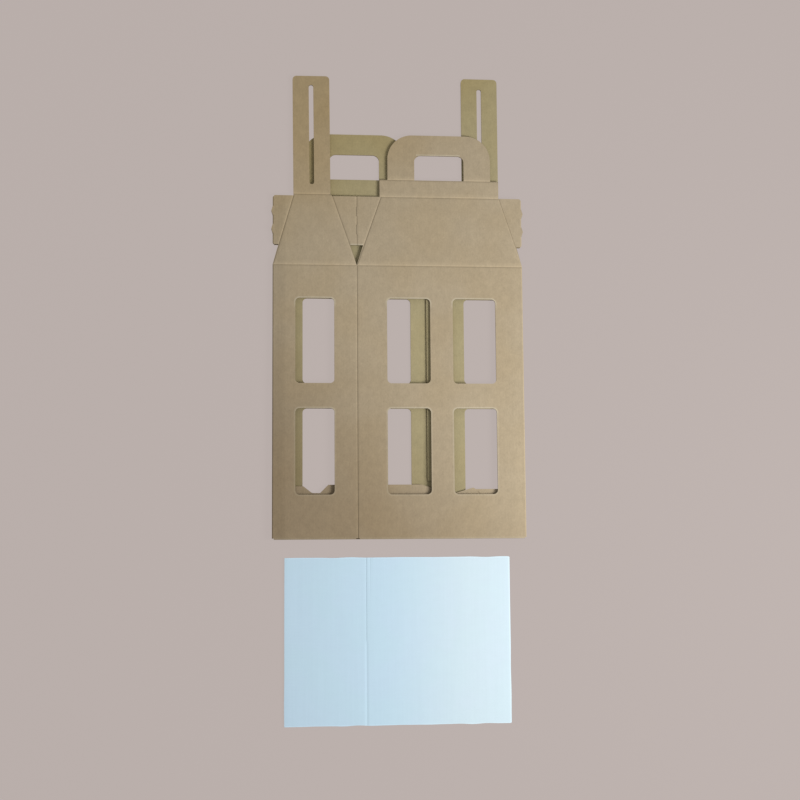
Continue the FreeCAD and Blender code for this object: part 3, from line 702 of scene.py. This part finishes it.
def insert_sheet():
    """The insert as it is made, in the place of the plain CAD sheet."""
    all_corners = []
    all_faces = []
    for corners, faces in insert_layers():
        start = len(all_corners)
        all_corners += corners
        all_faces += [[start + corner for corner in face] for face in faces]
    mesh = bpy.data.meshes.new("insert_board")
    mesh.from_pydata(all_corners, [], all_faces)
    mesh.shade_smooth()
    mesh.set_sharp_from_angle(angle=radians(50))
    mesh.materials.append(pale_board())
    piece = bpy.data.objects.new("insert_board", mesh)
    bpy.context.scene.collection.objects.link(piece)
    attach(piece, "root")
    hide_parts("insert_sheet")


def dress(node, material):
    """Give a CAD node its material."""
    piece = frame["nodes"][node]
    piece.data.materials.clear()
    piece.data.materials.append(material)


def seen_rays(tree):
    """1 for the rays that meet the background: camera, glossy and transmission rays."""
    path = tree.nodes.new("ShaderNodeLightPath")
    seen = path.outputs["Is Camera Ray"]
    for kind in ("Is Glossy Ray", "Is Transmission Ray"):
        either = tree.nodes.new("ShaderNodeMath")
        either.operation = "MAXIMUM"
        tree.links.new(seen, either.inputs[0])
        tree.links.new(path.outputs[kind], either.inputs[1])
        seen = either.outputs[0]
    return seen


def lay_floor():
    """A plain pale floor that keeps the object's shadow but stays an even colour."""
    half = FLOOR_HALF
    mesh = bpy.data.meshes.new("floor")
    mesh.from_pydata([(-half, -half, 0), (half, -half, 0), (half, half, 0), (-half, half, 0)],
                     [], [(0, 1, 2, 3)])
    floor = bpy.data.objects.new("floor", mesh)
    floor.location.z = -FLOOR_DROP
    bpy.context.scene.collection.objects.link(floor)
    mat = Nodes("floor_paper")
    matt = mat.tree.nodes.new("ShaderNodeBsdfDiffuse")
    matt.inputs["Color"].default_value = BACKGROUND
    even = mat.tree.nodes.new("ShaderNodeEmission")
    even.inputs["Color"].default_value = BACKGROUND
    blend = mat.tree.nodes.new("ShaderNodeMixShader")
    mat.put(blend.inputs[0], mat.scaled(seen_rays(mat.tree), FLOOR_EVENNESS))
    mat.put(blend.inputs[1], matt.outputs[0])
    mat.put(blend.inputs[2], even.outputs[0])
    mat.put(mat.output.inputs["Surface"], blend.outputs[0])
    mesh.materials.append(mat.material)


def key_lamp():
    """A soft square lamp to the right of the object."""
    data = bpy.data.lights.new("key", "AREA")
    data.size = KEY_SIZE
    data.energy = KEY_POWER
    lamp = bpy.data.objects.new("key", data)
    lamp.location = KEY_PLACE
    towards = Vector(KEY_TARGET) - Vector(KEY_PLACE)
    lamp.rotation_euler = towards.to_track_quat("-Z", "Y").to_euler()
    bpy.context.scene.collection.objects.link(lamp)


def even_sky():
    """An even sky that lights the object and shows the background's colour."""
    world = bpy.data.worlds.new("studio")
    world.use_nodes = True
    tree = world.node_tree
    tree.nodes.clear()
    sky = tree.nodes.new("ShaderNodeBackground")
    sky.inputs["Color"].default_value = SKY
    sky.inputs["Strength"].default_value = SKY_STRENGTH
    wall = tree.nodes.new("ShaderNodeBackground")
    wall.inputs["Color"].default_value = BACKGROUND
    choice = tree.nodes.new("ShaderNodeMixShader")
    output = tree.nodes.new("ShaderNodeOutputWorld")
    tree.links.new(seen_rays(tree), choice.inputs[0])
    tree.links.new(sky.outputs[0], choice.inputs[1])
    tree.links.new(wall.outputs[0], choice.inputs[2])
    tree.links.new(choice.outputs[0], output.inputs["Surface"])
    bpy.context.scene.world = world


def place_camera():
    """The photograph's camera: nearly straight above, to the lower left of the object."""
    data = bpy.data.cameras.new("camera")
    data.sensor_width = CAMERA_SENSOR
    data.lens = CAMERA_LENS
    camera = bpy.data.objects.new("camera", data)
    camera.rotation_mode = "ZYX"
    camera.rotation_euler = CAMERA_TURN
    camera.location = CAMERA_PLACE
    bpy.context.scene.collection.objects.link(camera)
    bpy.context.scene.camera = camera


kraft = kraft_board()
for node in KRAFT_NODES:
    dress(node, kraft)
insert_sheet()
lay_floor()
even_sky()
key_lamp()
place_camera()
bpy.context.scene.view_settings.view_transform = "Standard"
